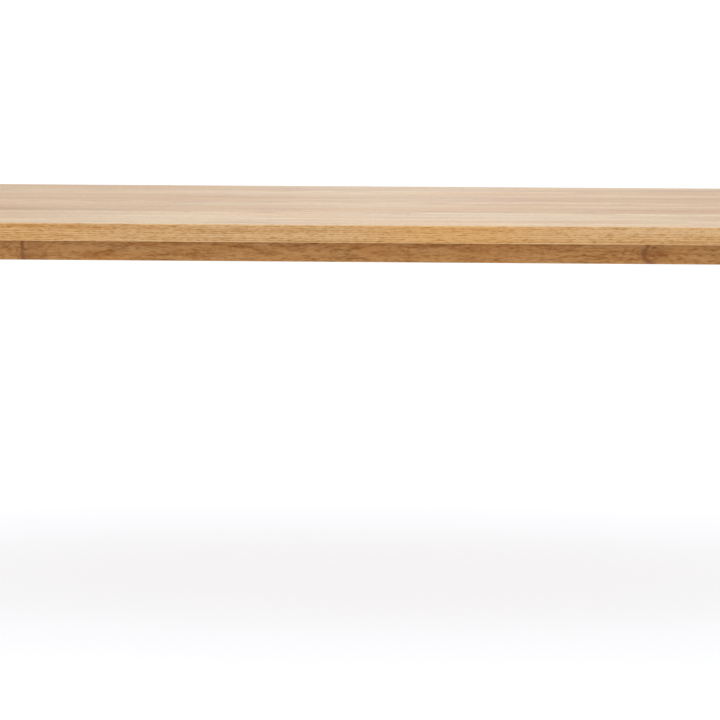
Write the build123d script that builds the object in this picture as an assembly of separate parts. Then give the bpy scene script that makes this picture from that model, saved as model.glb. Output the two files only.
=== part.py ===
from build123d import *
import math
import os

# A long oak communion table: a glued-up top on a slim rail frame with four tapered legs that
# unbolt at the corners and stand on levelling feet.
# Millimetres. X runs along the table, Y from front to back, Z up. The origin is on the floor,
# under the middle of the top.

# Overall sizes. The height is taken with the feet wound out.
table_length = 2200.0
table_depth = 800.0
table_height = 760.0

# Top: boards glued edge to edge over loose tongues
top_thickness = 32.0
board_count = 7
top_arris = 2.0
tongue_thickness = 6.0
tongue_width = 20.0
tongue_setback = 60.0
tongue_play = 0.1

# Rails under the top
rail_height = 37.0
rail_thickness = 28.0
rail_setback = 21.0
rail_arris = 1.2
tenon_length = 14.0
tenon_thickness = 12.0
tenon_shoulder = 6.0
tenon_play = 0.2

# Legs
leg_width = 72.0
leg_foot_width = 48.0
leg_setback = 18.0
leg_arris = 3.0
leg_bottom_chamfer = 2.5
taper_below_rail = 26.0
bolt_flat_width = 18.0

# Cross bearers that keep the top flat
bearer_count = 3
bearer_width = 46.0
bearer_rise = 4.0
dowel_radius = 5.0
dowel_length = 36.0
dowel_in_rail = 16.0
dowel_spacing = 22.0
slot_length = 14.0
bearer_end_margin = 24.0
head_pocket_depth = 9.0
head_pocket_clearance = 1.0

# Corner blocks and hanger bolts
corner_block_thickness = 28.0
corner_block_gap = 3.0
corner_block_play = 2.0
bolt_radius = 4.0
bolt_in_leg = 44.0
bolt_end_length = 4.0
bolt_hole_play = 0.5
washer_radius = 8.0
washer_thickness = 1.6
nut_across_flats = 13.0
nut_height = 6.5
nut_play = 0.03
bolt_chamfer = 0.8

# Wood buttons that hold the top to the rails
buttons_per_bay = 1
button_width = 28.0
button_body_length = 32.0
button_height = 19.0
button_tongue_length = 9.0
button_tongue_thickness = 8.0
button_gap = 1.5
button_slot_length = 60.0
button_slot_play = 0.5

# Wood screws
screw_radius = 2.25
screw_head_radius = 4.5
screw_head_height = 2.6
screw_head_rounding = 1.8
screw_tip_length = 4.0
screw_tip_radius = 0.4
screw_in_top = 20.0
screw_in_rail = 18.0
screw_hole_play = 0.3
pilot_play = 0.02
recess_length = 5.0
recess_width = 0.9
recess_depth = 1.4
screw_washer_radius = 6.0
screw_washer_thickness = 1.2
block_screw_spacing = 16.0
block_screw_seat = 18.0
block_screw_inset = 15.0

# Levelling feet
foot_travel = 8.0
sole_radius = 20.0
sole_thickness = 3.0
base_thickness = 3.0
base_edge_step = 1.0
collar_radius = 8.0
collar_height = 5.0
ball_radius = 4.6
ball_play = 0.1
neck_radius = 3.0
neck_play = 0.4
foot_hex_height = 4.5
foot_hex_across_flats = 13.0
foot_hex_gap = 1.0
stem_radius = 3.95
stem_in_insert = 16.0
stem_chamfer = 0.8
insert_radius = 6.5
insert_length = 17.0
insert_bore_radius = 4.0
insert_flange_radius = 9.5
insert_flange_thickness = 1.5
leg_hole_clearance = 1.0

# Levels and lines worked out from the sizes above
half_length = table_length / 2
half_depth = table_depth / 2
top_under = table_height - top_thickness
rail_under = top_under - rail_height
rail_middle = (top_under + rail_under) / 2
board_width = table_depth / board_count
bearer_height = rail_height - bearer_rise
block_height = rail_height - 2 * corner_block_play
bolt_rows = max(1, int(block_height // (2 * washer_radius)))
leg_outer_x = half_length - leg_setback
leg_outer_y = half_depth - leg_setback
leg_inner_x = leg_outer_x - leg_width
leg_inner_y = leg_outer_y - leg_width
rail_outer_x = half_length - rail_setback
rail_outer_y = half_depth - rail_setback
rail_inner_x = rail_outer_x - rail_thickness
rail_inner_y = rail_outer_y - rail_thickness
ball_height = sole_thickness + base_thickness + ball_radius
collar_top = sole_thickness + base_thickness + collar_height
hex_bottom = collar_top + foot_hex_gap
hex_top = hex_bottom + foot_hex_height
leg_bottom = hex_top + foot_travel + foot_hex_gap
stem_top = leg_bottom + stem_in_insert
foot_x = leg_outer_x - leg_foot_width / 2
foot_y = leg_outer_y - leg_foot_width / 2
corners = [(side, face) for face in (-1, 1) for side in (-1, 1)]


def corner_name(side, face):
    return ("front" if face < 0 else "back") + ("_left" if side < 0 else "_right")


def block(x, y, z):
    # A box from (low, high) pairs, given in either order.
    spans = [sorted(pair) for pair in (x, y, z)]
    sizes = [high - low for low, high in spans]
    middles = [(high + low) / 2 for low, high in spans]
    return Pos(*middles) * Box(*sizes)


def rod(start, direction, radius, length):
    base = Plane(origin=start, z_dir=direction)
    return base * Cylinder(radius, length, align=(Align.CENTER, Align.CENTER, Align.MIN))


def hexagon(start, direction, across_flats, height):
    # A nut's body: a hexagonal prism with its corners turned off at both ends.
    corner_radius = across_flats / math.sqrt(3)
    prism = extrude(RegularPolygon(corner_radius, 6), height)
    turned = Pos(0, 0, height / 2) * chamfer(
        Cylinder(corner_radius, height).edges().filter_by(GeomType.CIRCLE),
        corner_radius - across_flats / 2,
    )
    return Plane(origin=start, z_dir=direction) * (prism & turned)


def slot_cut(middle, length, radius, z_low, z_high):
    # An upright slot that runs along Y.
    shape = Rot(0, 0, 90) * SlotOverall(length, 2 * radius)
    return Pos(middle[0], middle[1], z_low) * extrude(shape, z_high - z_low)


def save(name, shape):
    export_step(shape, os.path.join("parts", name + ".step"))


# Where things repeat

def bearer_places():
    pitch = 2 * leg_inner_x / (bearer_count + 1)
    return [pitch * (k + 1) - leg_inner_x for k in range(bearer_count)]


def board_middles():
    return [board_width * (k + 0.5) - half_depth for k in range(board_count)]


def button_places():
    # (x, y, direction to the rail) for each button; those on the end rails run along X.
    places = []
    stops = [-leg_inner_x] + bearer_places() + [leg_inner_x]
    for low, high in zip(stops[:-1], stops[1:]):
        for k in range(buttons_per_bay):
            x = low + (high - low) * (k + 1) / (buttons_per_bay + 1)
            places += [(x, -rail_inner_y, (0, -1, 0)), (x, rail_inner_y, (0, 1, 0))]
    for y in (-board_width, board_width):
        places += [(-rail_inner_x, y, (-1, 0, 0)), (rail_inner_x, y, (1, 0, 0))]
    return places


def button_screw_points():
    reach = button_gap + button_body_length / 2
    seat = top_under - button_height
    return [(x - reach * dx, y - reach * dy, seat) for x, y, (dx, dy, dz) in button_places()]


def bearer_screw_lines():
    # One screw into the middle of each board; the outer ones are kept clear of the dowels.
    reach = rail_inner_y - bearer_end_margin
    return [max(-reach, min(reach, middle)) for middle in board_middles()]


def bearer_screw_points():
    seat = top_under - bearer_height + head_pocket_depth - screw_washer_thickness
    return [(x, y, seat) for x in bearer_places() for y in bearer_screw_lines()]


def top_screw_points():
    return button_screw_points() + bearer_screw_points()


# Wood screws

def wood_screw(seat, direction, length):
    # A pan-head screw: its head lies behind the seat, its shank runs along the direction.
    upright = (Align.CENTER, Align.CENTER, Align.MIN)
    head = Cylinder(screw_head_radius, screw_head_height, align=upright)
    head = Pos(0, 0, -screw_head_height) * head
    rim = head.edges().filter_by(GeomType.CIRCLE).sort_by(Axis.Z)[0]
    head = fillet(rim, screw_head_rounding)
    for turn in (0, 90):
        slot = Box(recess_length, recess_width, 2 * recess_depth)
        head -= Pos(0, 0, -screw_head_height) * Rot(0, 0, turn) * slot
    shank = Cylinder(screw_radius, length - screw_tip_length, align=upright)
    tip = Cone(screw_radius, screw_tip_radius, screw_tip_length, align=upright)
    shape = head + shank + Pos(0, 0, length - screw_tip_length) * tip
    return Plane(origin=seat, z_dir=direction) * shape


def pilot_hole(seat, direction, length):
    return rod(seat, direction, screw_radius + pilot_play, length + pilot_play)


# Top

def top_board(index):
    low = board_width * index - half_depth
    high = low + board_width
    board = block((-half_length, half_length), (low, high), (top_under, table_height))
    end_edges = board.edges().filter_by(Axis.Y)
    outer = []
    if index == 0:
        outer = board.faces().sort_by(Axis.Y)[0].edges()
    if index == board_count - 1:
        outer = board.faces().sort_by(Axis.Y)[-1].edges()
    board = fillet(end_edges + outer, top_arris)
    for joint_y in (low, high):
        if abs(joint_y) < half_depth - 1:
            board -= tongue(joint_y, tongue_play)
    for point in top_screw_points():
        if low < point[1] < high:
            bite = top_under + screw_in_top - point[2]
            board -= pilot_hole(point, (0, 0, 1), bite)
    return board


def tongue(joint_y, play):
    reach = half_length - tongue_setback + play
    half_width = tongue_width / 2 + play
    half_thick = tongue_thickness / 2 + play
    middle = table_height - top_thickness / 2
    return block(
        (-reach, reach),
        (joint_y - half_width, joint_y + half_width),
        (middle - half_thick, middle + half_thick),
    )


# Rails

def button_slot(x, y, direction):
    dx, dy, dz = direction
    low = top_under - button_height - button_slot_play
    high = low + button_tongue_thickness + 2 * button_slot_play
    depth = button_tongue_length - button_gap + button_slot_play
    half = button_slot_length / 2
    if dy:
        return block((x - half, x + half), (y, y + dy * depth), (low, high))
    return block((x, x + dx * depth), (y - half, y + half), (low, high))


def rail_tenon(along, across, inner, play):
    # The tenon on one end of a rail. along is +1 or -1, across is the rail's middle line.
    reach = tenon_length + play
    half_thick = tenon_thickness / 2 + play
    low = rail_under + tenon_shoulder - play
    high = top_under - tenon_shoulder + play
    return (
        sorted((along * inner, along * (inner + reach))),
        (across - half_thick, across + half_thick),
        (low, high),
    )


def long_rail(face):
    middle = face * (rail_outer_y - rail_thickness / 2)
    inner = face * rail_inner_y
    rail = block((-leg_inner_x, leg_inner_x), (inner, face * rail_outer_y), (rail_under, top_under))
    lower = rail.edges().filter_by(Axis.X).group_by(Axis.Z)[0]
    rail = fillet(lower, rail_arris)
    for along in (-1, 1):
        rail += block(*rail_tenon(along, middle, leg_inner_x, 0))
    for x, y, direction in button_places():
        if direction[1] == face:
            rail -= button_slot(x, y, direction)
    for x in bearer_places():
        for shift in (-1, 1):
            start = (x + shift * dowel_spacing / 2, inner, bearer_middle())
            rail -= rod(start, (0, face, 0), dowel_radius, dowel_in_rail)
    for seat, direction in block_screws():
        if direction[1] == face:
            rail -= pilot_hole(seat, direction, block_screw_seat + screw_in_rail)
    return rail


def end_rail(side):
    middle = side * (rail_outer_x - rail_thickness / 2)
    inner = side * rail_inner_x
    rail = block((inner, side * rail_outer_x), (-leg_inner_y, leg_inner_y), (rail_under, top_under))
    lower = rail.edges().filter_by(Axis.Y).group_by(Axis.Z)[0]
    rail = fillet(lower, rail_arris)
    for along in (-1, 1):
        y, x, z = rail_tenon(along, middle, leg_inner_y, 0)
        rail += block(x, y, z)
    for x, y, direction in button_places():
        if direction[0] == side:
            rail -= button_slot(x, y, direction)
    for seat, direction in block_screws():
        if direction[0] == side:
            rail -= pilot_hole(seat, direction, block_screw_seat + screw_in_rail)
    return rail


# Cross bearers

def bearer_middle():
    return top_under - bearer_height / 2


def bearer(x):
    under = top_under - bearer_height
    body = block(
        (x - bearer_width / 2, x + bearer_width / 2),
        (-rail_inner_y, rail_inner_y),
        (under, top_under),
    )
    body = fillet(body.edges().filter_by(Axis.Y).group_by(Axis.Z)[0], rail_arris)
    pocket = screw_washer_radius + head_pocket_clearance
    shank = screw_radius + screw_hole_play
    for y in bearer_screw_lines():
        if abs(y) < board_width / 2:
            # The middle board is held still, and the others may move across the table.
            body -= rod((x, y, under), (0, 0, 1), pocket, head_pocket_depth)
            body -= rod((x, y, under), (0, 0, 1), shank, bearer_height)
        else:
            end = under + head_pocket_depth
            body -= slot_cut((x, y), 2 * pocket + slot_length, pocket, under, end)
            body -= slot_cut((x, y), 2 * shank + slot_length, shank, under, top_under)
    for face in (-1, 1):
        for shift in (-1, 1):
            start = (x + shift * dowel_spacing / 2, face * rail_inner_y, bearer_middle())
            body -= rod(start, (0, -face, 0), dowel_radius, dowel_length - dowel_in_rail)
    return body


def bearer_dowels():
    dowels = []
    for x in bearer_places():
        for face in (-1, 1):
            for shift in (-1, 1):
                start = (
                    x + shift * dowel_spacing / 2,
                    face * (rail_inner_y + dowel_in_rail),
                    bearer_middle(),
                )
                dowels.append(rod(start, (0, -face, 0), dowel_radius, dowel_length))
    return dowels


# Corner blocks and bolts. Each block lies across a corner, square to the line at 45 degrees
# through the leg's middle, and bears on the inner faces of both rails.

def flat_middle(side, face):
    # The middle of the flat on the leg's inner corner, in plan.
    cut = bolt_flat_width / math.sqrt(2) / 2
    return side * (leg_inner_x + cut), face * (leg_inner_y + cut)


def inward(side, face, distance):
    # A point that lies inwards of the leg's flat by this distance, in plan.
    x, y = flat_middle(side, face)
    step = distance / math.sqrt(2)
    return x - side * step, y - face * step


def corner_block(side, face):
    x_near, y_near = inward(side, face, corner_block_gap)
    x_far, y_far = inward(side, face, corner_block_gap + corner_block_thickness)
    x_rail = side * rail_inner_x
    y_rail = face * rail_inner_y
    # Each line is x * side + y * face = a constant; its ends are where it meets the rails.
    near = x_near * side + y_near * face
    far = x_far * side + y_far * face
    outline = Polyline(
        (side * (near - rail_inner_y), y_rail),
        (side * (far - rail_inner_y), y_rail),
        (x_rail, face * (far - rail_inner_x)),
        (x_rail, face * (near - rail_inner_x)),
        close=True,
    )
    low = rail_under + corner_block_play
    body = Pos(0, 0, low) * extrude(make_face(outline), block_height)
    for x, y, z, direction in bolt_lines():
        if side * x > 0 and face * y > 0:
            reach = corner_block_gap + 2 * corner_block_thickness
            start = (x, y, z)
            away = tuple(-part for part in direction)
            body -= rod(start, away, bolt_radius + bolt_hole_play, reach)
    for seat, direction in block_screws():
        if side * seat[0] > 0 and face * seat[1] > 0:
            body -= rod(seat, direction, screw_radius + pilot_play, 2 * block_screw_seat)
            away = tuple(-part for part in direction)
            body -= rod(seat, away, screw_head_radius + screw_hole_play, 2 * corner_block_thickness)
    return body


def bolt_lines():
    # (x, y, z, direction into the leg) at the leg's flat, one above the other at each corner.
    lines = []
    for side, face in corners:
        x, y = flat_middle(side, face)
        for row in range(bolt_rows):
            shift = block_height / bolt_rows * (row - (bolt_rows - 1) / 2)
            lines.append((x, y, rail_middle + shift, (side, face, 0)))
    return lines


def block_screws():
    # (seat, direction) of the screws through the corner blocks, two into each rail.
    screws = []
    for side, face in corners:
        x_near, y_near = inward(side, face, corner_block_gap)
        near = x_near * side + y_near * face
        for shift in (-1, 1):
            z = rail_middle + shift * block_screw_spacing / 2
            x = side * (near - rail_inner_y - block_screw_inset)
            screws.append(((x, face * (rail_inner_y - block_screw_seat), z), (0, face, 0)))
            y = face * (near - rail_inner_x - block_screw_inset)
            screws.append(((side * (rail_inner_x - block_screw_seat), y, z), (side, 0, 0)))
    return screws


def bolt_outside():
    # How far a bolt stands out of the leg's flat, to its end past the nut.
    packed = corner_block_gap + corner_block_thickness + washer_thickness + nut_height
    return packed + bolt_end_length


def hanger_bolt(x, y, z, direction):
    side, face, flat = direction
    start_x, start_y = inward(side, face, bolt_outside())
    shape = rod((start_x, start_y, z), direction, bolt_radius, bolt_outside() + bolt_in_leg)
    return chamfer(shape.edges().filter_by(GeomType.CIRCLE), bolt_chamfer)


def bolt_washer(x, y, z, direction):
    side, face, flat = direction
    seat = corner_block_gap + corner_block_thickness
    start_x, start_y = inward(side, face, seat + washer_thickness)
    start = (start_x, start_y, z)
    disc = rod(start, direction, washer_radius, washer_thickness)
    return disc - rod(start, direction, bolt_radius + bolt_hole_play, washer_thickness)


def bolt_nut(x, y, z, direction):
    side, face, flat = direction
    seat = corner_block_gap + corner_block_thickness + washer_thickness
    start_x, start_y = inward(side, face, seat + nut_height)
    start = (start_x, start_y, z)
    body = hexagon(start, direction, nut_across_flats, nut_height)
    return body - rod(start, direction, bolt_radius + nut_play, nut_height)


# Wood buttons

def button(x, y, direction):
    # An L: the body lies under the top, and the thin tongue reaches into the rail's slot.
    dx, dy, dz = direction
    low = top_under - button_height
    half = button_width / 2
    start = button_gap
    end = button_gap + button_body_length
    tip = -(button_tongue_length - button_gap)
    if dy:
        width = (x - half, x + half)
        body = block(width, (y - dy * start, y - dy * end), (low, top_under))
        lip = block(width, (y - dy * start, y - dy * tip), (low, low + button_tongue_thickness))
    else:
        width = (y - half, y + half)
        body = block((x - dx * start, x - dx * end), width, (low, top_under))
        lip = block((x - dx * start, x - dx * tip), width, (low, low + button_tongue_thickness))
    shape = body + lip
    point = (x - dx * (start + end) / 2, y - dy * (start + end) / 2, low)
    return shape - rod(point, (0, 0, 1), screw_radius + pilot_play, button_height)


# Legs

def leg_section(side, face, width, z):
    # The leg's rounded square section at one height. Its two outer faces stay in line.
    x = side * (leg_outer_x - width / 2)
    y = face * (leg_outer_y - width / 2)
    return Pos(x, y, z) * RectangleRounded(width, width, leg_arris)


def leg(side, face):
    # Straight on its two outer faces; its two inner faces taper below the rails.
    taper_top = rail_under - taper_below_rail
    body = extrude(leg_section(side, face, leg_width, taper_top), top_under - taper_top)
    foot_end = leg_section(side, face, leg_foot_width, leg_bottom)
    body += loft([foot_end, leg_section(side, face, leg_width, taper_top)], ruled=True)
    body = chamfer(body.faces().sort_by(Axis.Z)[0].edges(), leg_bottom_chamfer)

    # The flat across the inner corner, where the bolts enter.
    x, y = flat_middle(side, face)
    cutter = Rot(0, 0, 45) * Box(leg_width, leg_width, rail_height, align=(Align.CENTER,) * 3)
    offset = leg_width / 2 / math.sqrt(2)
    body -= Pos(x - side * offset, y - face * offset, rail_middle) * cutter

    # Mortises for the two rails.
    long_middle = face * (rail_outer_y - rail_thickness / 2)
    body -= block(*rail_tenon(side, long_middle, leg_inner_x, tenon_play))
    end_middle = side * (rail_outer_x - rail_thickness / 2)
    span_y, span_x, span_z = rail_tenon(face, end_middle, leg_inner_y, tenon_play)
    body -= block(span_x, span_y, span_z)

    for bolt_x, bolt_y, z, direction in bolt_lines():
        if direction[:2] == (side, face):
            body -= rod((bolt_x, bolt_y, z), direction, bolt_radius, bolt_in_leg)

    # The bottom is bored for the threaded insert and for the stem above it.
    foot = (side * foot_x, face * foot_y, leg_bottom)
    body -= rod(foot, (0, 0, 1), insert_radius, insert_length)
    body -= rod(foot, (0, 0, 1), insert_flange_radius, insert_flange_thickness)
    stem_room = stem_in_insert + foot_travel + 2 * leg_hole_clearance
    body -= rod(foot, (0, 0, 1), insert_bore_radius + leg_hole_clearance, stem_room)
    return body


# Levelling feet

def leg_insert(side, face):
    foot = (side * foot_x, face * foot_y, leg_bottom)
    body = rod(foot, (0, 0, 1), insert_radius, insert_length)
    body += rod(foot, (0, 0, 1), insert_flange_radius, insert_flange_thickness)
    return body - rod(foot, (0, 0, 1), insert_bore_radius, insert_length)


def foot_sole(side, face):
    sole = rod((side * foot_x, face * foot_y, 0), (0, 0, 1), sole_radius, sole_thickness)
    return chamfer(sole.edges().filter_by(GeomType.CIRCLE).group_by(Axis.Z)[0], base_edge_step)


def foot_base(side, face):
    x, y = side * foot_x, face * foot_y
    disc = rod((x, y, sole_thickness), (0, 0, 1), sole_radius - base_edge_step, base_thickness)
    disc = fillet(disc.edges().filter_by(GeomType.CIRCLE).group_by(Axis.Z)[-1], base_edge_step)
    collar_start = sole_thickness + base_thickness
    collar = rod((x, y, collar_start), (0, 0, 1), collar_radius, collar_height)
    collar = chamfer(collar.edges().filter_by(GeomType.CIRCLE).group_by(Axis.Z)[-1], base_edge_step)
    socket = Pos(x, y, ball_height) * Sphere(ball_radius + ball_play)
    mouth = rod((x, y, ball_height), (0, 0, 1), neck_radius + neck_play, collar_height)
    return disc + collar - socket - mouth


def foot_stem(side, face):
    x, y = side * foot_x, face * foot_y
    ball = Pos(x, y, ball_height) * Sphere(ball_radius)
    neck = rod((x, y, ball_height), (0, 0, 1), neck_radius, hex_bottom - ball_height)
    nut = hexagon((x, y, hex_bottom), (0, 0, 1), foot_hex_across_flats, foot_hex_height)
    shaft = rod((x, y, hex_top), (0, 0, 1), stem_radius, stem_top - hex_top)
    shaft = chamfer(shaft.edges().filter_by(GeomType.CIRCLE).group_by(Axis.Z)[-1], stem_chamfer)
    return ball + neck + nut + shaft


# Writing the pieces

def main():
    os.makedirs("parts", exist_ok=True)
    for index in range(board_count):
        save(f"top_board_{index + 1}", top_board(index))
    joints = [board_width * k - half_depth for k in range(1, board_count)]
    save("top_tongues", Compound(children=[tongue(y, 0) for y in joints]))
    save("rail_front", long_rail(-1))
    save("rail_back", long_rail(1))
    save("rail_left", end_rail(-1))
    save("rail_right", end_rail(1))
    for index, x in enumerate(bearer_places()):
        save(f"bearer_{index + 1}", bearer(x))
    save("bearer_dowels", Compound(children=bearer_dowels()))

    top_screws = []
    washers = []
    for point in bearer_screw_points():
        bite = top_under + screw_in_top - point[2]
        top_screws.append(wood_screw(point, (0, 0, 1), bite))
        ring = rod(point, (0, 0, 1), screw_washer_radius, screw_washer_thickness)
        hole = rod(point, (0, 0, 1), screw_radius + screw_hole_play, screw_washer_thickness)
        washers.append(ring - hole)
    save("bearer_screws", Compound(children=top_screws))
    save("bearer_screw_washers", Compound(children=washers))

    save("top_buttons", Compound(children=[button(*place) for place in button_places()]))
    bite = button_height + screw_in_top
    screws = [wood_screw(point, (0, 0, 1), bite) for point in button_screw_points()]
    save("button_screws", Compound(children=screws))

    bite = block_screw_seat + screw_in_rail
    screws = [wood_screw(seat, direction, bite) for seat, direction in block_screws()]
    save("corner_block_screws", Compound(children=screws))
    save("hanger_bolts", Compound(children=[hanger_bolt(*line) for line in bolt_lines()]))
    save("bolt_washers", Compound(children=[bolt_washer(*line) for line in bolt_lines()]))
    save("bolt_nuts", Compound(children=[bolt_nut(*line) for line in bolt_lines()]))

    for side, face in corners:
        name = corner_name(side, face)
        save(f"leg_{name}", leg(side, face))
        save(f"corner_block_{name}", corner_block(side, face))
        save(f"foot_base_{name}", foot_base(side, face))
        save(f"foot_sole_{name}", foot_sole(side, face))
        save(f"foot_stem_{name}", foot_stem(side, face))
    save("leg_inserts", Compound(children=[leg_insert(side, face) for side, face in corners]))


main()
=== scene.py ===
import math
import bmesh
import bpy
from mathutils import Matrix, Vector


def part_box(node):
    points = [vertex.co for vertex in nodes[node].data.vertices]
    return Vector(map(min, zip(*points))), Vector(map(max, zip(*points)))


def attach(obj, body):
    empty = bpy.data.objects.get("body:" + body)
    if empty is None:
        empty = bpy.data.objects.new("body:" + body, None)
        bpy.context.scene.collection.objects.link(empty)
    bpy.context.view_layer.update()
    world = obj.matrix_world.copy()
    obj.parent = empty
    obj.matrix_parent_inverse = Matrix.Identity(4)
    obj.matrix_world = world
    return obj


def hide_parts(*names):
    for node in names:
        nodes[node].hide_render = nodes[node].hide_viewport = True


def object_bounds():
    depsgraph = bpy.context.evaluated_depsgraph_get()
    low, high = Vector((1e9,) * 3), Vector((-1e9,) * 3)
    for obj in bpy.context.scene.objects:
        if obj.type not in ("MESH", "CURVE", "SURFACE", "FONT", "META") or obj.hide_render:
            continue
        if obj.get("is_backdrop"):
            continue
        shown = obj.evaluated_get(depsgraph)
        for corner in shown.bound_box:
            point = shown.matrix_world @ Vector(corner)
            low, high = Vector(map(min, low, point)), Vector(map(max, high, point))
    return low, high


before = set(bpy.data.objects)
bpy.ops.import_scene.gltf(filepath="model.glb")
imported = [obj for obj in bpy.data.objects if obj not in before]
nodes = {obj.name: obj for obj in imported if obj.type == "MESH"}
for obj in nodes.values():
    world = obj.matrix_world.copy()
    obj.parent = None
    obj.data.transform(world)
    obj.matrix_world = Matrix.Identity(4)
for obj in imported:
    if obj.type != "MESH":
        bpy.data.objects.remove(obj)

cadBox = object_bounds()
mm = 0.001
corners = ["front_left", "front_right", "back_left", "back_right"]
print("loaded", len(nodes), "nodes")


# shader bench: sockets that can be added, multiplied and so on

class Wire:
    def __init__(self, bench, socket):
        self.bench = bench
        self.socket = socket

    def maths(self, operation, *others, clamp=False):
        return self.bench.maths(operation, self, *others, clamp=clamp)

    def __add__(self, other): return self.maths("ADD", other)
    def __radd__(self, other): return self.maths("ADD", other)
    def __sub__(self, other): return self.maths("SUBTRACT", other)
    def __rsub__(self, other): return self.bench.maths("SUBTRACT", other, self)
    def __mul__(self, other): return self.maths("MULTIPLY", other)
    def __rmul__(self, other): return self.maths("MULTIPLY", other)
    def __truediv__(self, other): return self.maths("DIVIDE", other)
    def __rtruediv__(self, other): return self.bench.maths("DIVIDE", other, self)
    def __pow__(self, power): return self.maths("POWER", power)
    def __abs__(self): return self.maths("ABSOLUTE")

    def fract(self): return self.maths("FRACT")
    def clamp(self): return self.maths("ADD", 0.0, clamp=True)
    def least(self, other): return self.maths("MINIMUM", other)
    def most(self, other): return self.maths("MAXIMUM", other)
    def between(self, low, high): return self * (high - low) + low  # 0 to 1 becomes low to high

    def ramp(self, low, high):  # smooth 0 to 1 from low to high; high may be the smaller
        flip = high < low
        start, end = (high, low) if flip else (low, high)
        settings = {"interpolation_type": "SMOOTHSTEP", "clamp": True}
        sockets = {0: self, 1: start, 2: end, 3: 0.0, 4: 1.0}
        out = self.bench.add("ShaderNodeMapRange", settings, sockets)
        return 1 - out if flip else out


class Bench:
    def __init__(self, name):
        self.material = bpy.data.materials.new(name)
        self.material.use_nodes = True
        self.tree = self.material.node_tree
        self.tree.nodes.clear()

    def add(self, kind, settings=None, sockets=None, out=0):
        node = self.tree.nodes.new(kind)
        for key, setting in (settings or {}).items():
            if key == "stops":
                self.setStops(node.color_ramp, setting)
            else:
                setattr(node, key, setting)
        filled = dict(enumerate(sockets)) if isinstance(sockets, list) else (sockets or {})
        for key, given in filled.items():
            if isinstance(given, Wire):
                self.tree.links.new(given.socket, node.inputs[key])
            else:
                node.inputs[key].default_value = given
        return Wire(self, node.outputs[out]) if len(node.outputs) else None

    def setStops(self, ramp, stops):
        while len(ramp.elements) > 1:
            ramp.elements.remove(ramp.elements[-1])
        for index, (place, shade) in enumerate(stops):
            element = ramp.elements[0] if index == 0 else ramp.elements.new(place)
            element.position = place
            element.color = (shade, shade, shade, 1.0)

    def maths(self, operation, *values, clamp=False):
        settings = {"operation": operation, "use_clamp": clamp}
        return self.add("ShaderNodeMath", settings, list(values))

    def coordinate(self, kind):
        return self.add("ShaderNodeTexCoord", out=kind)

    def turned(self, vector, degrees, shift=(0.0, 0.0, 0.0)):
        rotation = [math.radians(angle) for angle in degrees]
        sockets = {"Vector": vector, "Rotation": rotation, "Location": shift}
        return self.add("ShaderNodeMapping", {}, sockets)

    def join(self, x, y, z):
        return self.add("ShaderNodeCombineXYZ", {}, [x, y, z])

    def parts(self, vector):
        split = self.add("ShaderNodeSeparateXYZ", {}, [vector]).socket.node
        return [Wire(self, socket) for socket in split.outputs]

    def vector(self, operation, first, second, out=0):
        return self.add("ShaderNodeVectorMath", {"operation": operation}, [first, second], out)

    def mix(self, amount, first, second, blend="MIX"):
        settings = {"data_type": "RGBA", "blend_type": blend, "clamp_factor": True}
        return self.add("ShaderNodeMix", settings, {0: amount, 6: first, 7: second}, out=2)

    def tint(self, amount, colour, shade):  # the colour multiplied by the shade, by this amount
        return self.mix(amount, colour, self.mix(1.0, colour, shade, "MULTIPLY"))

    def noise(self, vector, scale, detail=2.0, rough=0.5, out=0):
        stretched = self.vector("MULTIPLY", vector, scale)
        sockets = {"Vector": stretched, "Scale": 1.0, "Detail": detail, "Roughness": rough}
        return self.add("ShaderNodeTexNoise", {}, sockets, out)

    def sway(self, vector, scale, reach, detail=2.0, rough=0.5):  # a drift of up to reach each way
        drift = self.noise(vector, scale, detail, rough, out=1)
        drift = self.vector("SUBTRACT", drift, (0.5, 0.5, 0.5))
        return self.vector("MULTIPLY", drift, tuple(2 * part for part in reach))

    def finish(self, colour, rough, height=None, bump=0.0, depth=0.0, **fixed):
        sockets = {"Base Color": colour, "Roughness": rough}
        if height is not None:
            bumpSockets = {"Strength": bump, "Distance": depth, "Height": height}
            sockets["Normal"] = self.add("ShaderNodeBump", {}, bumpSockets)
        for key, setting in fixed.items():
            sockets[key.replace("_", " ")] = setting
        shader = self.add("ShaderNodeBsdfPrincipled", {}, sockets)
        self.add("ShaderNodeOutputMaterial", {}, {"Surface": shader})
        return self.material


def highest(wires):
    top = wires[0]
    for wire in wires[1:]:
        top = top.most(wire)
    return top


def rgb(red, green, blue):  # screen colour, 0 to 255, to a linear colour
    def linear(part):
        part = part / 255
        return part / 12.92 if part <= 0.04045 else ((part + 0.055) / 1.055) ** 2.4
    return (linear(red), linear(green), linear(blue), 1.0)


def tinted(colour, shade):
    return tuple(part * by for part, by in zip(colour[:3], shade)) + (1.0,)


def paint(node, material):
    for slot in nodes[node].material_slots:
        slot.material = material


# oak: growth rings round a pith line, with pores, rays, streaks and knots

grainTurns = {  # turns that bring each grain direction to the first axis
    "x": (0.0, 0.0, 0.0),
    "y": (0.0, 0.0, -90.0),
    "z": (0.0, 90.0, 0.0),
}

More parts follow.
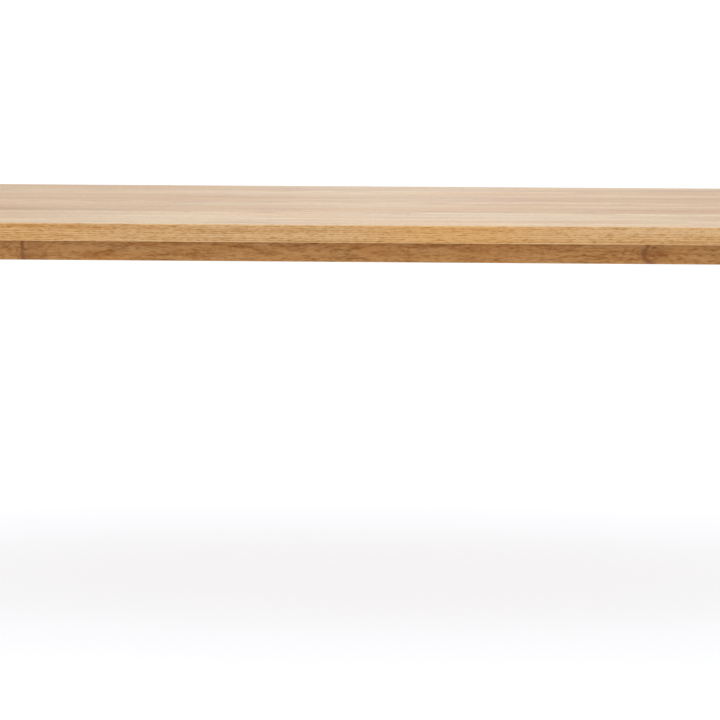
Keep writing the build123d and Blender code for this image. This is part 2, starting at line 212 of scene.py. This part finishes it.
oakLook = {
    "grain": "x",
    "seed": 1.0, "seedStep": 3.7,   # which part of the log, and metres along it for each
    "tilt": (0.2, 0.1),             # degrees off the piece's length
    "pith": (0.01, 0.075),          # where the pith line lies, metres from the piece's middle
    "bend": 12 * mm, "bendScale": (1.1, 3.0, 3.0),
    "wave": 1.2 * mm, "waveScale": (9.0, 45.0, 45.0),
    # rings
    "ring": 3.2 * mm, "ringDepth": 0.42,
    "ringStops": [(0.0, 0.15), (0.12, 0.95), (0.3, 0.75), (0.55, 0.25), (0.88, 0.05), (1.0, 0.15)],
    "yearScale": 55.0, "yearDrift": 1.8,
    "earlyWood": (0.42, 0.25),
    # figure, each with its scale along, across and up
    "fibreScale": (14.0, 900.0, 900.0), "fibreDepth": 0.3,
    "fleckScale": (95.0, 380.0, 380.0), "fleckDepth": 0.7,
    "dashScale": (75.0, 700.0, 700.0), "dashRange": (0.54, 0.66), "dashDepth": 0.46,
    "streakScale": (1.6, 34.0, 70.0), "streakDepth": 0.8, "streakWarmth": 0.8,
    "cloudScale": (2.2, 12.0, 4.0), "cloudDepth": 1.9,
    "poreScale": (130.0, 2300.0, 2300.0), "poreRange": (0.58, 0.7), "poreDepth": 0.6,
    "latePores": 0.25,
    "rayScale": (45.0, 120.0, 22.0), "rayRange": (0.66, 0.74), "rayDepth": 0.4,
    # colours
    "tone": 0.08,
    "light": rgb(211, 172, 125),
    "dark": rgb(156, 103, 30),
    "warm": (0.99, 0.87, 0.64, 1.0),
    "pore": rgb(120, 76, 30),
    "ray": rgb(212, 170, 116),
    # worn arrises: some real wear, and a painted highlight where the edges catch light
    "wornAndLit": rgb(232, 194, 146), "wearAndHighlight": 0.6,
    # painted shade: faces that look up are darkened and tinted for how the light falls on the top
    "paintedTopShade": (0.85, 0.90, 0.81, 1.0), "paintedTopRange": (0.5, 0.95),
    "endTint": (0.62, 0.52, 0.42, 1.0), "endRange": (0.55, 0.9), "endDepth": 0.62,
    # knots: place, half width and half height
    "knots": [], "knot": rgb(110, 62, 26), "knotDepth": 0.75,
    "knotPush": 7 * mm, "knotReach": 3.0, "bowWidth": 0.34,
    "knotCore": (1.3, 0.2), "coreShade": 0.3,
    "knotSway": (8 * mm, 10 * mm, 10 * mm), "knotSwayScale": (50.0, 50.0, 60.0),
    # edges: wear and a painted highlight on the arrises, and glue seams
    "outline": None, "taper": None,
    "nickScale": (90.0, 90.0, 90.0),
    "wearHighlightReach": (2.6 * mm, 0.6 * mm), "wearHighlightNicks": (0.4, 0.65), "leastWearHighlight": 0.35,
    "glueSides": [], "glueReach": (0.7 * mm, 0.3 * mm), "glueDepth": 0.45,
    "glueNicks": (0.35, 0.6), "leastGlue": 0.4,
    # gloss and bump
    "rough": 0.30, "poreRough": 0.18, "fibreRough": 0.08, "cloudRough": 0.08, "endRough": 0.14,
    "wearSmooth": 0.06, "shine": 0.18,
    "bump": 0.25, "bumpDepth": 0.15 * mm,
    "fibreHeight": 0.35, "poreHeight": 0.9, "dashHeight": 0.5, "ringHeight": 0.25,
    "knotHeight": 0.5,
}


def knotRings(bench, place, radius, look):  # rings pushed aside, and a dark bow by each knot
    shades = []
    for x, y, z, wide, tall in look["knots"]:
        away = bench.vector("SUBTRACT", place, (x, y, z))
        wobble = bench.sway(place, look["knotSwayScale"], look["knotSway"], 3.0, 0.6)
        away = bench.vector("ADD", away, wobble)
        near = bench.vector("MULTIPLY", away, (1 / wide, 1 / tall, 1 / tall))
        distance = bench.vector("LENGTH", near, (0, 0, 0), out=1)
        radius = radius + distance.ramp(look["knotReach"], 0.0) * look["knotPush"]
        bow = abs(distance - 1).ramp(look["bowWidth"], 0.0)
        bow = bow * bench.parts(near)[0].ramp(0.5, -0.5)
        shades.append(bow.most(distance.ramp(*look["knotCore"]) * look["coreShade"]))
    return radius, highest(shades)


def arrisWearAndHighlight(bench, place, outline, nicks, look):  # 1 on the outline's edges where nicks are: real wear and a painted highlight
    lows = bench.parts(bench.vector("SUBTRACT", place, tuple(outline[0])))
    highs = bench.parts(bench.vector("SUBTRACT", tuple(outline[1]), place))
    if look["taper"]:
        shrink, start, inward = look["taper"]
        sink = ((start - lows[2]) / start).clamp() * shrink
        for axis in (0, 1):
            walls = highs if inward[axis] > 0 else lows
            walls[axis] = walls[axis] - sink
    x, y, z = [near.least(far) for near, far in zip(lows, highs)]
    nearest = x.most(y).least(y.most(z)).least(x.most(z))
    wornAndLit = nicks.ramp(*look["wearHighlightNicks"]).between(look["leastWearHighlight"], 1.0)
    return nearest.ramp(*look["wearHighlightReach"]) * wornAndLit


def glueSeams(bench, place, nicks, look):
    across = bench.parts(place)[1]
    lines = [abs(across - side).ramp(*look["glueReach"]) for side in look["glueSides"]]
    return highest(lines) * nicks.ramp(*look["glueNicks"]).between(look["leastGlue"], 1.0)


def oak(name, box, look):
    bench = Bench(name)
    low, high = box
    place = bench.coordinate("Object")
    normal = bench.coordinate("Normal")
    local = bench.vector("SUBTRACT", place, tuple((low + high) / 2))

    # turned so that the grain runs along the first axis, tilted a little, pith line at nought
    grain = grainTurns[look["grain"]]
    pith = (look["seed"] * look["seedStep"], *look["pith"])
    centred = bench.turned(bench.turned(local, grain), (0.0, *look["tilt"]), pith)

    # the stem's slow bends, then its small waves
    bend = bench.sway(centred, look["bendScale"], (0.0, look["bend"], look["bend"]), 1.0)
    wave = bench.sway(centred, look["waveScale"], (0.0, look["wave"], look["wave"]))
    bent = bench.vector("ADD", bench.vector("ADD", centred, bend), wave)
    along, side, up = bench.parts(bent)
    radius = (side * side + up * up) ** 0.5
    angle = up.maths("ARCTAN2", side)
    knotShade = None
    if look["knots"]:
        radius, knotShade = knotRings(bench, place, radius, look)

    # rings, wide and narrow years
    drift = radius * look["yearScale"] + look["seed"]
    years = bench.add("ShaderNodeTexNoise", {"noise_dimensions": "1D"},
                      {"W": drift, "Scale": 1.0, "Detail": 2.0})
    phase = (radius / look["ring"] + years * look["yearDrift"]).fract()
    ring = bench.add("ShaderNodeValToRGB", {"stops": look["ringStops"]}, [phase])

    # fine streaks, broad streaks, pores and rays
    fibre = bench.noise(bent, look["fibreScale"], 3.0, 0.6)
    fleck = bench.noise(bent, look["fleckScale"], 3.0, 0.65)
    dash = bench.noise(bent, look["dashScale"], 2.0, 0.5).ramp(*look["dashRange"])
    streak = bench.noise(bent, look["streakScale"], 3.0, 0.55)
    cloud = bench.noise(centred, look["cloudScale"], 2.0, 0.5)
    pore = bench.noise(bent, look["poreScale"], 1.0, 0.4).ramp(*look["poreRange"])
    early = phase.ramp(*look["earlyWood"])
    pore = pore * early.between(look["latePores"], 1.0)
    rayPlace = bench.join(along, angle, radius)
    ray = bench.noise(rayPlace, look["rayScale"], 1.0, 0.4).ramp(*look["rayRange"])

    tone = ring * look["ringDepth"] + dash * look["dashDepth"] + look["tone"]
    for figure, depth in ((fibre, "fibreDepth"), (fleck, "fleckDepth"), (streak, "streakDepth")):
        tone = tone + (figure - 0.5) * (2 * look[depth])
    colour = bench.mix(tone.clamp(), look["light"], look["dark"])
    warmth = (cloud - 0.5) * (2 * look["cloudDepth"]) + (streak - 0.5) * (2 * look["streakWarmth"])
    colour = bench.tint((warmth + 0.5).clamp(), colour, look["warm"])
    colour = bench.mix(ray * look["rayDepth"], colour, look["ray"])
    colour = bench.mix(pore * look["poreDepth"], colour, look["pore"])
    if knotShade:
        colour = bench.mix(knotShade * look["knotDepth"], colour, look["knot"])

    # painted shade on what faces up, for how the light falls on the top; end grain drinks more
    # oil; arrises catch a little wear and a painted highlight
    paintedTopMask = bench.parts(normal)[2].ramp(*look["paintedTopRange"])
    colour = bench.tint(paintedTopMask, colour, look["paintedTopShade"])
    endGrain = abs(bench.parts(bench.turned(normal, grain))[0]).ramp(*look["endRange"])
    colour = bench.tint(endGrain * look["endDepth"], colour, look["endTint"])
    nicks = bench.noise(local, look["nickScale"], 3.0, 0.6)
    # lighter arrises: a little wear and a painted highlight
    wearAndHighlight = arrisWearAndHighlight(bench, place, look["outline"] or box, nicks, look)
    colour = bench.mix(wearAndHighlight * look["wearAndHighlight"], colour, look["wornAndLit"])
    if look["glueSides"]:
        seam = glueSeams(bench, place, nicks, look)
        colour = bench.mix(seam * look["glueDepth"], colour, look["pore"])

    rough = look["rough"] + pore * look["poreRough"] + (fibre - 0.5) * look["fibreRough"]
    rough = rough + endGrain * look["endRough"] + (cloud - 0.5) * look["cloudRough"]
    rough = rough - wearAndHighlight * look["wearSmooth"]
    height = (fibre - 0.5) * look["fibreHeight"] - pore * look["poreHeight"]
    height = height - dash * look["dashHeight"] - ring * look["ringHeight"]
    if knotShade:
        height = height - knotShade * look["knotHeight"]
    return bench.finish(colour, rough.clamp(), height, look["bump"], look["bumpDepth"],
                        Specular_IOR_Level=look["shine"])


def oakPiece(node, shade=(1.0, 1.0, 1.0), **changes):
    look = dict(oakLook, **changes)
    for key in ("light", "dark", "ray", "pore", "wornAndLit"):
        look[key] = tinted(look[key], shade)
    paint(node, oak("oak_" + node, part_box(node), look))


# top: seven boards, each from its own log, front to back

boardLooks = {
    "top_board_1": dict(shade=(1.0, 1.0, 1.0),
                        pith=(0.02, 0.070), seed=1.0, tilt=(0.15, 0.2)),
    "top_board_2": dict(shade=(0.987, 1.032, 1.218),
                        pith=(-0.05, 0.085), seed=2.3, tilt=(0.9, 0.3)),
    "top_board_3": dict(shade=(0.818, 0.657, 0.269),
                        pith=(0.03, 0.060), seed=3.1, tilt=(0.2, -0.2)),
    "top_board_4": dict(shade=(0.922, 0.887, 0.779),
                        pith=(-0.02, 0.100), seed=4.7, tilt=(-1.1, 0.15)),
    "top_board_5": dict(shade=(0.824, 0.695, 0.394),
                        pith=(0.06, 0.080), seed=5.9, tilt=(-0.2, -0.1)),
    "top_board_6": dict(shade=(0.905, 0.843, 0.665),
                        pith=(-0.04, 0.065), seed=6.4, tilt=(0.8, -0.3)),
    "top_board_7": dict(shade=(0.830, 0.751, 0.525),
                        pith=(0.01, 0.090), seed=7.2, tilt=(-0.15, 0.2)),
}
topLow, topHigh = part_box("top_board_1")[0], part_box("top_board_7")[1]
for node, changes in boardLooks.items():
    sides = [corner.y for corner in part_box(node)]
    glued = [side for side in sides if topLow.y + mm < side < topHigh.y - mm]
    oakPiece(node, outline=(topLow, topHigh), glueSides=glued, **changes)
print("painted the top")


# rails, bearers and legs

railLook = dict(
    light=rgb(179, 132, 79),
    dark=rgb(131, 78, 16),
    warm=(1.0, 0.92, 0.76, 1.0),
    pore=rgb(92, 54, 18), poreDepth=0.55,
    ray=rgb(180, 130, 72),
    # worn arrises: wear and a painted highlight
    wornAndLit=rgb(196, 146, 88), wearAndHighlight=0.5,
    pith=(0.0, 0.085), ring=2.8 * mm, ringDepth=0.3,
    bend=12 * mm, bendScale=(2.4, 5.0, 5.0),
    wave=3 * mm, waveScale=(12.0, 45.0, 45.0),
    streakScale=(11.0, 105.0, 105.0), streakDepth=0.75,
    fleckScale=(70.0, 330.0, 330.0), fleckDepth=1.2,
    cloudScale=(7.0, 30.0, 30.0), cloudDepth=2.2,
    rough=0.42, shine=0.25,
)
railKnots = [  # along, up from the rail's middle, half width, half height
    (-580 * mm, -0.5 * mm, 22 * mm, 34 * mm),
    (545 * mm, 0.5 * mm, 26 * mm, 24 * mm),
]
railLow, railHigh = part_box("rail_front")
railMiddle = (railLow + railHigh) / 2
frontKnots = [(x, railLow.y, railMiddle.z + up, wide, tall) for x, up, wide, tall in railKnots]
frameLooks = {
    "rail_front": dict(seed=11.0, knots=frontKnots, pith=(0.082, 0.004)),
    "rail_back": dict(seed=12.6, pith=(-0.078, 0.01)),
    "rail_left": dict(grain="y", seed=13.4, pith=(0.07, 0.01)),
    "rail_right": dict(grain="y", seed=14.9, pith=(-0.08, 0.0)),
    "bearer_1": dict(grain="y", seed=16.7, tone=-0.05),
    "bearer_2": dict(grain="y", seed=18.4, tone=-0.05),
    "bearer_3": dict(grain="y", seed=20.1, tone=-0.05),
}
for node, changes in frameLooks.items():
    oakPiece(node, **dict(railLook, **changes))

legLook = dict(
    grain="z", ring=3.4 * mm,
    light=rgb(196, 148, 88), dark=rgb(134, 86, 42), warm=(1.0, 0.92, 0.88, 1.0),
    # worn arrises: wear and a painted highlight
    pore=rgb(90, 56, 28), wornAndLit=rgb(216, 170, 116),
)
legTaper = {"shrink": 24 * mm, "start": 639.5 * mm}  # narrower at the foot, from this height up
for index, corner in enumerate(corners):
    inward = (1 if corner.endswith("left") else -1, 1 if corner.startswith("front") else -1)
    oakPiece("leg_" + corner, seed=21.0 + index * 2.3,
             pith=(0.05 * inward[0], 0.06 - 0.01 * index),
             taper=(legTaper["shrink"], legTaper["start"], inward), **legLook)
print("painted the frame")


# beech for the hidden pieces: fine even fibre with short dark rays

beechLook = {
    "light": rgb(214, 172, 130), "dark": rgb(188, 141, 98), "warm": (1.0, 0.93, 0.88, 1.0),
    "fibreScale": (18.0, 520.0, 520.0), "fibreDepth": 1.1,
    "cloudScale": (5.0, 36.0, 36.0), "cloudDepth": 0.9, "warmRange": (0.4, 0.65), "tone": 0.45,
    "ray": rgb(158, 106, 70), "rayScale": (240.0, 950.0, 950.0), "rayRange": (0.6, 0.7),
    "rayDepth": 0.55,
    "endTint": (0.72, 0.62, 0.54, 1.0), "endRange": (0.55, 0.9), "endDepth": 0.7,
    "rough": 0.55, "fibreRough": 0.12, "rayRough": 0.08, "endRough": 0.1,
    "bump": 0.2, "bumpDepth": 0.12 * mm, "rayHeight": 0.6,
}


def beech(name, grain, seed, look):
    bench = Bench(name)
    turn = grainTurns[grain]
    grained = bench.turned(bench.coordinate("Object"), turn, (seed, seed * 0.3, 0.0))
    fibre = bench.noise(grained, look["fibreScale"], 3.0, 0.6)
    cloud = bench.noise(grained, look["cloudScale"], 2.0, 0.5)
    ray = bench.noise(grained, look["rayScale"], 1.0, 0.5).ramp(*look["rayRange"])
    facing = bench.turned(bench.coordinate("Normal"), turn)
    endGrain = abs(bench.parts(facing)[0]).ramp(*look["endRange"])
    tone = (fibre - 0.5) * look["fibreDepth"] + (cloud - 0.5) * look["cloudDepth"] + look["tone"]
    colour = bench.mix(tone.clamp(), look["light"], look["dark"])
    colour = bench.tint(cloud.ramp(*look["warmRange"]), colour, look["warm"])
    colour = bench.mix(ray * look["rayDepth"], colour, look["ray"])
    colour = bench.tint(endGrain * look["endDepth"], colour, look["endTint"])
    rough = look["rough"] + (fibre - 0.5) * look["fibreRough"] + ray * look["rayRough"]
    rough = rough + endGrain * look["endRough"]
    height = fibre - ray * look["rayHeight"]
    return bench.finish(colour, rough.clamp(), height, look["bump"], look["bumpDepth"])


beechGrain = {"top_tongues": "x", "top_buttons": "y", "bearer_dowels": "y"}
for corner in sorted(corners):
    beechGrain["corner_block_" + corner] = "x"
for index, (node, grain) in enumerate(beechGrain.items()):
    paint(node, beech("beech_" + node, grain, 1.7 * index, beechLook))


# zinc-plated steel and nylon

zincLook = {
    "bright": rgb(205, 207, 208), "dull": rgb(176, 180, 184), "stain": rgb(150, 148, 140),
    "cloudScale": (140.0, 140.0, 140.0), "cloudRange": (0.3, 0.7),
    "speckScale": (900.0, 900.0, 900.0), "speckRange": (0.62, 0.75), "stainDepth": 0.35,
    "scratchScale": (2600.0, 300.0, 300.0), "scratchRange": (0.55, 0.7),
    "rough": 0.24, "cloudRough": 0.16, "scratchRough": 0.12,
    "bump": 0.15, "bumpDepth": 0.05 * mm, "speckHeight": 0.5, "scratchHeight": 0.3,
}
nylonLook = {
    "colour": rgb(38, 38, 40), "dust": rgb(84, 80, 74),
    "sparkScale": (1600.0, 1600.0, 1600.0),
    "dustScale": (70.0, 70.0, 30.0), "dustRange": (0.4, 0.75), "dustDepth": 0.5,
    "rough": 0.48, "dustRough": 0.12, "sparkRough": 0.1, "bump": 0.25, "bumpDepth": 0.08 * mm,
}


def zincPlate(name, look):
    bench = Bench(name)
    place = bench.coordinate("Object")
    cloud = bench.noise(place, look["cloudScale"], 3.0, 0.6)
    speck = bench.noise(place, look["speckScale"], 2.0, 0.6)
    scratch = bench.noise(place, look["scratchScale"], 2.0, 0.5)
    colour = bench.mix(cloud.ramp(*look["cloudRange"]), look["bright"], look["dull"])
    colour = bench.mix(speck.ramp(*look["speckRange"]) * look["stainDepth"], colour, look["stain"])
    rough = look["rough"] + cloud * look["cloudRough"]
    rough = rough + scratch.ramp(*look["scratchRange"]) * look["scratchRough"]
    height = (speck - 0.5) * look["speckHeight"] + scratch * look["scratchHeight"]
    return bench.finish(colour, rough.clamp(), height, look["bump"], look["bumpDepth"],
                        Metallic=1.0)


def mouldedNylon(name, look):
    bench = Bench(name)
    place = bench.coordinate("Object")
    spark = bench.noise(place, look["sparkScale"], 2.0, 0.5)
    dust = bench.noise(place, look["dustScale"], 3.0, 0.6)
    dusty = dust.ramp(*look["dustRange"]) * look["dustDepth"]
    colour = bench.mix(dusty, look["colour"], look["dust"])
    rough = look["rough"] + dust * look["dustRough"] + (spark - 0.5) * look["sparkRough"]
    return bench.finish(colour, rough.clamp(), spark, look["bump"], look["bumpDepth"])


zinc = zincPlate("zinc_plate", zincLook)
nylon = mouldedNylon("moulded_nylon", nylonLook)
for node in ("bearer_screws", "bearer_screw_washers", "button_screws", "corner_block_screws",
             "hanger_bolts", "bolt_washers", "bolt_nuts", "leg_inserts"):
    paint(node, zinc)
for corner in corners:
    paint("foot_base_" + corner, zinc)
    paint("foot_stem_" + corner, zinc)
    paint("foot_sole_" + corner, nylon)
print("painted the fixings and feet")


# turned and threaded pieces: a core with a ridge wound round it

steelLook = {"slot": "zinc_steel", "sharpFrom": 35.0, "weld": 0.001 * mm}  # degrees; metres


def addOutline(shape, points, start=None):  # joins (radius, height) points with edges
    verts = [start] if start else []
    verts += [shape.verts.new((radius, 0.0, height)) for radius, height in points]
    for pair in zip(verts, verts[1:]):
        shape.edges.new(pair)


def spinRound(shape, steps):  # the whole outline, round the upright axis
    bmesh.ops.spin(shape, geom=shape.verts[:] + shape.edges[:], cent=(0, 0, 0), axis=(0, 0, 1),
                   angle=math.tau, steps=steps, use_merge=True)
    bmesh.ops.remove_doubles(shape, verts=shape.verts[:], dist=steelLook["weld"])


def threadRidge(shape, look, bottom, top):
    sunk = look["root"] - look["sunk"]
    crest, pitch, steps = look["major"], look["pitch"], look["steps"]
    foot, tip = pitch * look["ridgeFoot"] / 2, pitch * look["ridgeTip"] / 2
    profile = [(sunk, -foot), (crest, -tip), (crest, tip), (sunk, foot)]
    loop = [shape.verts.new((radius, 0.0, bottom + foot + height)) for radius, height in profile]
    sides = [shape.edges.new((loop[i - 1], loop[i])) for i in range(len(loop))]
    turns = int((top - bottom - 2 * foot) / pitch)
    made = bmesh.ops.spin(shape, geom=loop + sides, cent=(0, 0, 0), axis=(0, 0, 1),
                          dvec=(0, 0, pitch / steps), angle=math.tau * turns,
                          steps=steps * turns)
    last = [item for item in made["geom_last"] if isinstance(item, bmesh.types.BMEdge)]
    bmesh.ops.holes_fill(shape, edges=sides + last, sides=4)

    # the ridge dies away over its first and last turn
    first, end = bottom + foot, bottom + foot + turns * pitch
    core = look["root"] + 0.01 * mm  # what lies further out is ridge
    for vert in shape.verts:
        reach = Vector((vert.co.x, vert.co.y)).length
        if reach > core and bottom < vert.co.z < top:
            fade = min(1.0, (vert.co.z - first + tip) / pitch, (end + tip - vert.co.z) / pitch)
            wanted = look["root"] + (crest - look["root"]) * max(fade, 0.0)
            vert.co.x *= wanted / reach
            vert.co.y *= wanted / reach


def finishSteel(shape, name, body, hidden):
    bmesh.ops.recalc_face_normals(shape, faces=shape.faces[:])
    mesh = bpy.data.meshes.new(name)
    shape.to_mesh(mesh)
    shape.free()
    mesh.materials.append(zinc)
    for face in mesh.polygons:
        face.use_smooth = True
    mesh.set_sharp_from_angle(angle=math.radians(steelLook["sharpFrom"]))
    piece = bpy.data.objects.new(name, mesh)
    bpy.context.scene.collection.objects.link(piece)
    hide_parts(hidden)
    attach(piece, body)


levellingStem = {
    "major": 3.95 * mm, "root": 3.3 * mm, "pitch": 1.25 * mm, "steps": 24,
    "ridgeFoot": 0.86, "ridgeTip": 0.14, "sunk": 0.12 * mm,     # foot and tip: of the pitch
    "ball": 4.6 * mm, "ballSteps": 14,
    "neck": 3.0 * mm, "neckTop": 12.4 * mm, "neckSlope": 0.3 * mm,
    "hexBottom": 12.0 * mm, "hexHeight": 4.5 * mm, "hexWidth": 13.0 * mm, "hexEdge": 0.5 * mm,
    "runOut": 0.2 * mm, "end": 0.8 * mm, "endIn": 0.48 * mm, "round": 32,
}


def makeLevellingStem(corner, look):
    low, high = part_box("foot_stem_" + corner)
    shape = bmesh.new()

    # ball from its lowest point up to the neck, then the core
    pole = shape.verts.new((0, 0, low.z))
    neckAngle = math.pi - math.asin(look["neck"] / look["ball"])
    arc = bmesh.ops.spin(shape, geom=[pole], cent=(0, 0, low.z + look["ball"]),
                         axis=(0, -1, 0), angle=neckAngle, steps=look["ballSteps"])
    neck = [item for item in arc["geom_last"] if isinstance(item, bmesh.types.BMVert)][0]
    threadTop = high.z - look["end"]
    addOutline(shape, [
        (look["neck"], look["neckTop"]), (look["root"], look["neckTop"] + look["neckSlope"]),
        (look["root"], threadTop), (look["root"] - look["endIn"], high.z), (0, high.z)], neck)
    spinRound(shape, look["round"])
    hexTop = look["hexBottom"] + look["hexHeight"]
    threadRidge(shape, look, hexTop + look["runOut"], threadTop)

    # hexagon for the spanner
    hexRadius = look["hexWidth"] / math.sqrt(3)
    lift = Matrix.Translation((0, 0, look["hexBottom"] + look["hexHeight"] / 2))
    hexagon = bmesh.ops.create_cone(shape, cap_ends=True, segments=6, radius1=hexRadius,
                                    radius2=hexRadius, depth=look["hexHeight"], matrix=lift)
    edges = dict.fromkeys(edge for vert in hexagon["verts"] for edge in vert.link_edges)
    bmesh.ops.bevel(shape, geom=list(edges), offset=look["hexEdge"], offset_type="OFFSET",
                    affect="EDGES", segments=3, profile=0.5, material=-1)

    middle = (low + high) / 2
    bmesh.ops.translate(shape, verts=shape.verts[:], vec=(middle.x, middle.y, 0))
    finishSteel(shape, "levelling_stem_" + corner, "stem_" + corner, "foot_stem_" + corner)


for corner in corners:
    makeLevellingStem(corner, levellingStem)
print("turned the levelling stems")

machineThread = {
    "major": 4.0 * mm, "root": 3.3 * mm, "pitch": 1.25 * mm, "steps": 20,
    "ridgeFoot": 0.86, "ridgeTip": 0.14, "sunk": 0.12 * mm,
}
woodThread = {
    "major": 4.0 * mm, "root": 2.7 * mm, "pitch": 3.4 * mm, "steps": 20,
    "ridgeFoot": 0.34, "ridgeTip": 0.06, "sunk": 0.12 * mm,
}
hangerBolt = {
    "flatWidth": 18.0 * mm,                         # of the flat on a leg's inner corner
    "nutHalf": 6.5 * mm,                            # the bolts run through the nuts' middles
    "outside": 43.1 * mm, "inside": 44.0 * mm,      # of the leg, measured from the flat
    "shank": 7.0 * mm, "shankRadius": 3.9 * mm,
    "machineSlope": 0.6 * mm, "woodSlope": 1.2 * mm,    # from the shank down to each core
    "machineRunOut": 0.4 * mm, "woodRunOut": 1.0 * mm,
    "end": 0.8 * mm, "endIn": 0.48 * mm,
    "tip": 9.0 * mm, "tipRadius": 0.5 * mm, "tipBlunt": 0.3 * mm, "round": 32,
}


def makeHangerBolts(look, machine, wood):
    total = look["outside"] + look["inside"]
    shankStart = look["outside"] - look["shank"] / 2
    shankEnd = shankStart + look["shank"]
    tipStart = total - look["tip"]
    single = bmesh.new()
    addOutline(single, [
        (0, 0), (machine["root"] - look["endIn"], 0), (machine["root"], look["end"]),
        (machine["root"], shankStart - look["machineSlope"]), (look["shankRadius"], shankStart),
        (look["shankRadius"], shankEnd), (wood["root"], shankEnd + look["woodSlope"]),
        (wood["root"], tipStart), (look["tipRadius"], total - look["tipBlunt"]), (0, total)])
    spinRound(single, look["round"])
    threadRidge(single, machine, look["end"], shankStart - look["machineRunOut"])
    threadRidge(single, wood, shankEnd + look["woodRunOut"], tipStart + look["woodRunOut"])
    mesh = bpy.data.meshes.new("single_hanger_bolt")
    single.to_mesh(mesh)
    single.free()

    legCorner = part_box("leg_back_right")[0]
    flat = look["flatWidth"] / math.sqrt(8)         # from the leg's corner to the flat's middle
    nutsLow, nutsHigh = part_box("bolt_nuts")
    rows = (nutsLow.z + look["nutHalf"], nutsHigh.z - look["nutHalf"])
    whole = bmesh.new()
    for side, face in ((-1, -1), (-1, 1), (1, -1), (1, 1)):
        direction = Vector((side, face, 0)).normalized()
        middle = Vector((side * (legCorner.x + flat), face * (legCorner.y + flat), 0))
        aim = direction.to_track_quat("Z", "Y").to_matrix().to_4x4()
        for row in rows:
            start = middle - direction * look["outside"] + Vector((0, 0, row))
            before = len(whole.verts)
            whole.from_mesh(mesh)
            whole.verts.ensure_lookup_table()
            bmesh.ops.transform(whole, matrix=Matrix.Translation(start) @ aim,
                                verts=whole.verts[before:])
    bpy.data.meshes.remove(mesh)
    finishSteel(whole, "threaded_hanger_bolts", "table", "hanger_bolts")


makeHangerBolts(hangerBolt, machineThread, woodThread)
print("turned the hanger bolts")


# studio: white floor and sky, soft lamps, and the camera

studioLook = {
    "floorSize": 40.0, "floor": (0.43, 0.44, 0.455, 1.0), "floorRough": 0.9,
    "mottle": 0.02, "mottleScale": (0.5, 0.5, 0.5),
    "glow": 0.585, "glowTint": (0.962, 0.99, 1.032, 1.0), "sky": 1.1,
}
lampLooks = {  # watts, width and height, degrees of spread; a sheen lamp shows only in gloss
    "soft_lamp": {"power": 36.0, "size": (6.0, 5.0), "spread": 180.0, "sheenOnly": False,
                  "place": (0.1, 0.2, 4.5), "aim": (0.0, 0.0, 0.6)},
    "sheen_lamp": {"power": 0.16, "size": (3.6, 1.2), "spread": 28.0, "sheenOnly": True,
                   "place": (0.03, 3.6, 1.15), "aim": (0.0, 0.0, 0.76)},
}
cameraLook = {
    "place": (0.094, -3.878, 1.132), "turn": -1.38, "down": 10.04, "lean": 0.24,
    "lens": 97.9, "sensor": 36.0, "near": 0.05, "far": 200.0,
}


def makeFloor(look):
    shape = bmesh.new()
    bmesh.ops.create_grid(shape, x_segments=1, y_segments=1, size=look["floorSize"])
    mesh = bpy.data.meshes.new("studio_floor")
    shape.to_mesh(mesh)
    shape.free()
    floor = bpy.data.objects.new("studio_floor", mesh)
    bpy.context.scene.collection.objects.link(floor)
    paper = Bench("studio_paper")
    mottle = paper.noise(paper.coordinate("Object"), look["mottleScale"], 2.0)
    colour = paper.mix(mottle * look["mottle"], look["floor"], (1, 1, 1, 1))
    mesh.materials.append(paper.finish(colour, look["floorRough"], Specular_IOR_Level=0.0,
                                       Emission_Color=look["glowTint"],
                                       Emission_Strength=look["glow"]))
    floor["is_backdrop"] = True


def makeSky(look):
    world = bpy.data.worlds.new("studio_sky")
    world.use_nodes = True
    background = world.node_tree.nodes["Background"]
    background.inputs["Color"].default_value = (1, 1, 1, 1)
    background.inputs["Strength"].default_value = look["sky"]
    scene = bpy.context.scene
    scene.world = world
    scene.view_settings.view_transform = "Standard"
    scene.view_settings.look = "None"
    scene.view_settings.exposure = 0.0
    scene.view_settings.gamma = 1.0


def makeLamp(name, look):
    lamp = bpy.data.lights.new(name, "AREA")
    lamp.shape = "RECTANGLE"
    lamp.size, lamp.size_y = look["size"]
    lamp.energy = look["power"]
    lamp.spread = math.radians(look["spread"])
    holder = bpy.data.objects.new(name, lamp)
    holder.location = look["place"]
    sight = Vector(look["aim"]) - holder.location
    holder.rotation_euler = sight.to_track_quat("-Z", "Y").to_euler()
    holder.visible_camera = False
    holder.visible_diffuse = not look["sheenOnly"]
    bpy.context.scene.collection.objects.link(holder)


def makeCamera(look):
    camera = bpy.data.cameras.new("camera")
    camera.lens = look["lens"]
    camera.sensor_width = look["sensor"]
    camera.clip_start, camera.clip_end = look["near"], look["far"]
    holder = bpy.data.objects.new("camera", camera)
    turn, down = math.radians(look["turn"]), math.radians(look["down"])
    flat = math.cos(down)
    sight = Vector((math.sin(turn) * flat, math.cos(turn) * flat, -math.sin(down)))
    level = sight.to_track_quat("-Z", "Y").to_matrix().to_4x4()
    lean = Matrix.Rotation(math.radians(look["lean"]), 4, "Z")
    holder.matrix_world = Matrix.Translation(look["place"]) @ level @ lean
    bpy.context.scene.collection.objects.link(holder)
    bpy.context.scene.camera = holder


makeFloor(studioLook)
makeSky(studioLook)
for name, lampLook in lampLooks.items():
    makeLamp(name, lampLook)
makeCamera(cameraLook)
print("set up the studio")

boxes = [cadBox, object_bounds()]
[[list(corner) for corner in box] for box in boxes]
